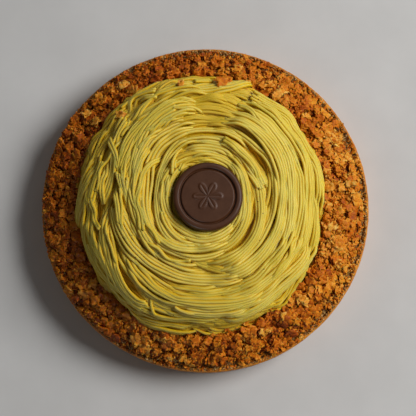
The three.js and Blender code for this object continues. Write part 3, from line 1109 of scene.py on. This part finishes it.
def dropAll(shapes):
    order = fallOrder()
    inHeap, besideHeap = np.argwhere(heapMask), np.argwhere(spillMask)
    spots = np.vstack([
        inHeap[pile.integers(len(inHeap), size=len(order))],
        besideHeap[pile.integers(len(besideHeap), size=heap["spilled"])],
    ])
    order += list(pile.choice(["medium", "small", "grain"], heap["spilled"], p=[0.08, 0.42, 0.5]))
    places = np.column_stack([heapAxis[spots[:, 1]], heapAxis[spots[:, 0]], np.zeros(len(order))])
    places[:, :2] += pile.uniform(-0.4, 0.4, (len(order), 2)) * mm
    fallen = {kind: ([], []) for kind in kinds}
    for kind, (x, y, _), patch in zip(order, places, lumps(places, 15 * mm, 31)):
        _, smallest, largest, tilt = kinds[kind]
        size = blend((smallest, largest), pile.random() ** 1.5)
        part = dropFlake(oneOf(shapes[kind]), x, y, size, tilt, 1.4 * mm)
        if part:
            # painted light: flakes on the lamp's side of the ring are lighter, those on the far side and at the
            # top darker, over their random tone
            right = math.cos(math.atan2(y, x) - 0.35)
            toneWithPaintedLight = 0.42 + 0.15 * patch + (0.2 * right if right > 0 else -0.06 * right)
            toneWithPaintedLight -= 0.16 * math.exp(-((math.atan2(y, x) - 1.8) / 0.8) ** 2)
            fallen[kind][0].append(part)
            fallen[kind][1].append(float(np.clip(pile.normal(toneWithPaintedLight, 0.15), 0, 1)))
    angles = pile.uniform(0, 2 * math.pi, heap["crestFlakes"])
    ring = np.column_stack([np.cos(angles), np.sin(angles), np.zeros(len(angles))])
    for (x, y, _), rough in zip(ring, lumps(ring * 0.09, 12 * mm, 33)):
        rise = heap["climb"] + (3.5 * rough + pile.uniform(-4, 1)) * mm
        reach = np.interp(rise, tableRise[::-1], tableLength[::-1])
        kind = "medium" if pile.random() < 0.75 else "large"
        shape = oneOf(shapes[kind])
        size = pile.uniform(2.8, 4.8 if kind == "medium" else 7) * mm
        tilt = math.radians(pile.uniform(5, 45))
        fallen[kind][0].append(leanFlake(shape, reach * np.array([x, y]), size, tilt))
        fallen[kind][1].append(pile.uniform(0.35, 0.8))
    for (px, py), size, tone in standing:
        shape = oneOf(shapes["large"])
        flat = fromPixel(px, py)
        if np.interp(np.hypot(*flat), tableLength, tableRise) > heap["climb"]:
            part = leanFlake(shape, flat, size * mm, math.radians(15))
        else:
            part = dropFlake(shape, *heapSpot(px, py), size * mm, 14, 2.4 * mm)
        if part:
            fallen["large"][0].append(part)
            fallen["large"][1].append(tone)
    return fallen


def heapSpot(px, py):                # a pixel of the picture on the level of the heap
    spot = np.array(cameraPlace) + pixelRay(px, py) * (cameraPlace.z - heap["usualHeight"])
    return spot[0], spot[1]


def makeHeapCore():
    inner, outer, foot, top = 91 * mm, 112 * mm, 24 * mm, 30 * mm
    profile = [(inner, foot), (outer, foot)] + [(radius, top) for radius in np.linspace(outer, inner, 22)]
    core = turned("flakeHeapCore", profile, 360)
    points = meshPoints(core)
    angle = np.arctan2(points[:, 1], points[:, 0])
    share = (np.hypot(points[:, 0], points[:, 1]) - inner) / (outer - inner)
    heading = np.column_stack([np.cos(angle), np.sin(angle)])
    creamFoot = heading * mound["radius"] * mound["stretch"] + mound["centre"]
    creamFoot = np.hypot(creamFoot[:, 0], creamFoot[:, 1]) - 1.5 * mm
    edge = np.array([outerEdge(a) for a in angle]) - 1.2 * mm
    points[:, :2] = heading * blend((creamFoot, edge), share)[:, None]
    away = np.hypot(points[:, 0], points[:, 1])
    onTop = points[:, 2] > 27 * mm
    rough = 0.7 * lumps(points, 3 * mm, 8) + 0.4 * lumps(points, 1.4 * mm, 9)
    for i in np.flatnonzero(onTop):
        for shift in range(5):       # at the heap's edges, a little further in
            scale = (away[i] + (shift if away[i] < 100 * mm else -shift) * mm) / away[i]
            top = heapTopAt(points[i, 0] * scale, points[i, 1] * scale)
            if top:
                break
        points[i, 2] = (top or 27 * mm) - heap["coreDepth"] + rough[i] * mm
    rimTop = np.where(away > innerRadius - 4 * mm, shell["height"] + 0.3 * mm, mound["foot"])
    points[~onTop, 2] = rimTop[~onTop]
    placePoints(core, points)
    install(core, heapFinish(), "pastry_flakes", "flake_ring")


def makeHeap():
    wide = [sheetShape(20 + seed, 5, 4, math.radians(12 + 12 * seed), 0.045, 0.05) for seed in range(7)]
    shapes = {
        "large": [bothSheets(wide[i], wide[(i + 2) % 7], 0.1) for i in range(7)],
        "medium": [sheetShape(seed, 4, 3, math.radians(20 + 14 * seed), 0.07, 0.07) for seed in range(7)],
        "small": [sheetShape(40 + seed, 2, 2, math.radians(30 * seed), 0.13, 0.1) for seed in range(5)],
        "grain": [crumbShape(60 + seed, 0.7) for seed in range(5)],
    }
    makeHeapCore()
    material = flakeFinish()
    for kind, (parts, tones) in dropAll(shapes).items():
        piece = joined("flakes" + kind.capitalize(), parts, tones, kind != "grain")
        install(piece, material, "pastry_flakes", "flake_ring")
    print("flakes")


makeHeap()


# ---- crumb filling at the rim ----

filling = {
    "grains": 5200,
    "grainSize": (0.7 * mm, 2.1 * mm),
    "ontoRim": 1.3 * mm,             # how far crumbs lie out over the shell's rim
    "sparse": 0.6,                   # share of the crumbs over the heap that are left out
    "hidden": (60 * mm, 8 * mm),     # the band's inner edge and its underside
    "steps": 720,
}


def makeFilling():
    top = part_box("crumb_filling")[1].z
    outer, level = innerRadius - 0.1 * mm, top - 0.6 * mm
    inner, bottom = filling["hidden"]
    profile = [(inner, bottom), (outer, bottom), (outer, level - 1 * mm)]
    profile += [(radius, level) for radius in np.linspace(outer - 0.7 * mm, 106 * mm, 16)]
    profile += [(inner, level)]
    piece = turned("crumbBand", profile, filling["steps"])
    points = meshPoints(piece)
    away = np.hypot(points[:, 0], points[:, 1])
    loose = (away > 105 * mm) & (points[:, 2] > top - 2 * mm)
    rough = 0.9 * lumps(points, 2.6 * mm, 12) + 0.6 * lumps(points, 1.1 * mm, 13)
    points[:, 2] += np.where(loose, rough * mm - 0.3 * mm, 0)
    placePoints(piece, points)
    # painted shade: the tone follows the bumps, lighter on them and darker in the hollows
    addAttribute(piece.data, "tone", (0.35 + 0.3 * rough).clip(0, 0.6))
    material = crumbFinish()
    install(piece, material, "dark_crumb", "crumb_filling")
    shapes = [crumbShape(80 + seed, 0.8) for seed in range(5)]
    parts, tones = [], []
    angles = pile.uniform(0, 2 * math.pi, filling["grains"])
    ring = np.column_stack([np.cos(angles), np.sin(angles), np.zeros(len(angles))])
    for (x, y, _), rough in zip(ring, lumps(ring * 0.115, 9 * mm, 35)):
        away = innerRadius + filling["ontoRim"] - (5.5 + 3.5 * rough) * mm * pile.random() ** 1.3
        size = blend(filling["grainSize"], pile.random() ** 1.5)
        level = top - 0.4 * mm
        level += 1.2 * mm * smoothstep(away, innerRadius - 1 * mm, innerRadius + 0.6 * mm)
        column, row = heapCell((x * away, y * away))
        if heapMask[row, column]:
            if pile.random() < filling["sparse"]:
                continue
            level = max(level, heapGoal[row, column])
        shape = oneOf(shapes)
        points = (shape[0] * size) @ turnTo(pile.normal(0, 1, 3) + (0, 0, 1), pile.uniform(0, 6.28)).T
        points += (x * away, y * away, level + pile.uniform(-0.4, 0.5) * mm)
        parts.append((points, shape[1], shape[2]))
        tones.append(pile.random() ** 1.6)
    grains = joined("crumbGrains", parts, tones, False)
    install(grains, material, "dark_crumb", "crumb_filling")
    print("filling")


makeFilling()
